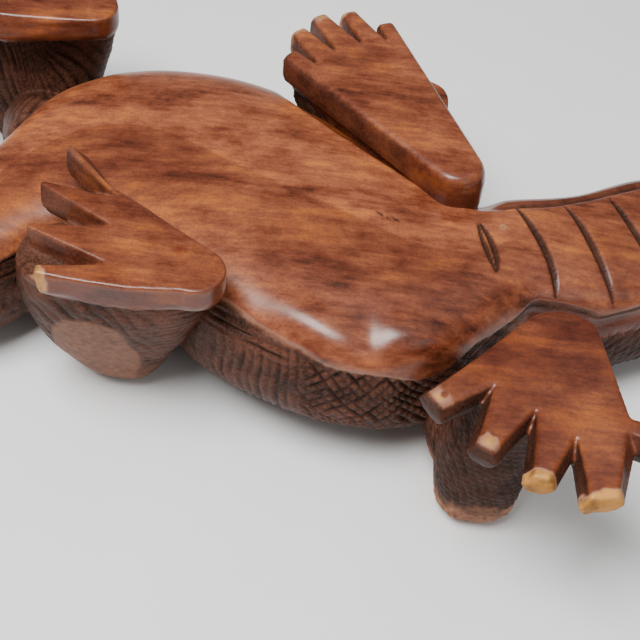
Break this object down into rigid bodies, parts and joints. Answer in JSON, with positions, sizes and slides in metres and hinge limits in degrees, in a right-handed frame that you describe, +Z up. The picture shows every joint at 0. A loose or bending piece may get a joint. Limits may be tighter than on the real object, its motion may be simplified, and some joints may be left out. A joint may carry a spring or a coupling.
{
  "type": "carved wooden lizard figure",
  "caption": "Carved hardwood iguana figure lying on its back, smooth belly and flat clawed soles up, with pegged head, legs and tail and scale-cut flanks.",
  "frame": {"origin": "under the middle of the figure's bounding box, on the surface that the figure lies on", "axes": "+X from the head to the tail, the figure's longest way; +Y towards the far flank; +Z up, out of the belly and the four flat soles. The figure lies on its back, knees and elbows down; a half turn about X stands it on its feet"},
  "size_m": [0.48, 0.1686, 0.057],
  "materials": {
    "oiled_hardwood": "oiled and polished on belly and soles, matte where scales are cut",
    "peg_wood": "plain turned dowel, unfinished",
    "eye_bead": "polished black bead"
  },
  "bodies": {
    "root": {"trunk": "oiled_hardwood", "head": "oiled_hardwood", "tail": "oiled_hardwood", "front_leg_near": "oiled_hardwood", "front_leg_far": "oiled_hardwood", "hind_leg_near": "oiled_hardwood", "hind_leg_far": "oiled_hardwood", "neck_peg": "peg_wood", "tail_peg": "peg_wood", "front_peg_near": "peg_wood", "front_peg_far": "peg_wood", "hind_peg_near": "peg_wood", "hind_peg_far": "peg_wood", "eye_near": "eye_bead", "eye_far": "eye_bead"}
  },
  "joints": []
}
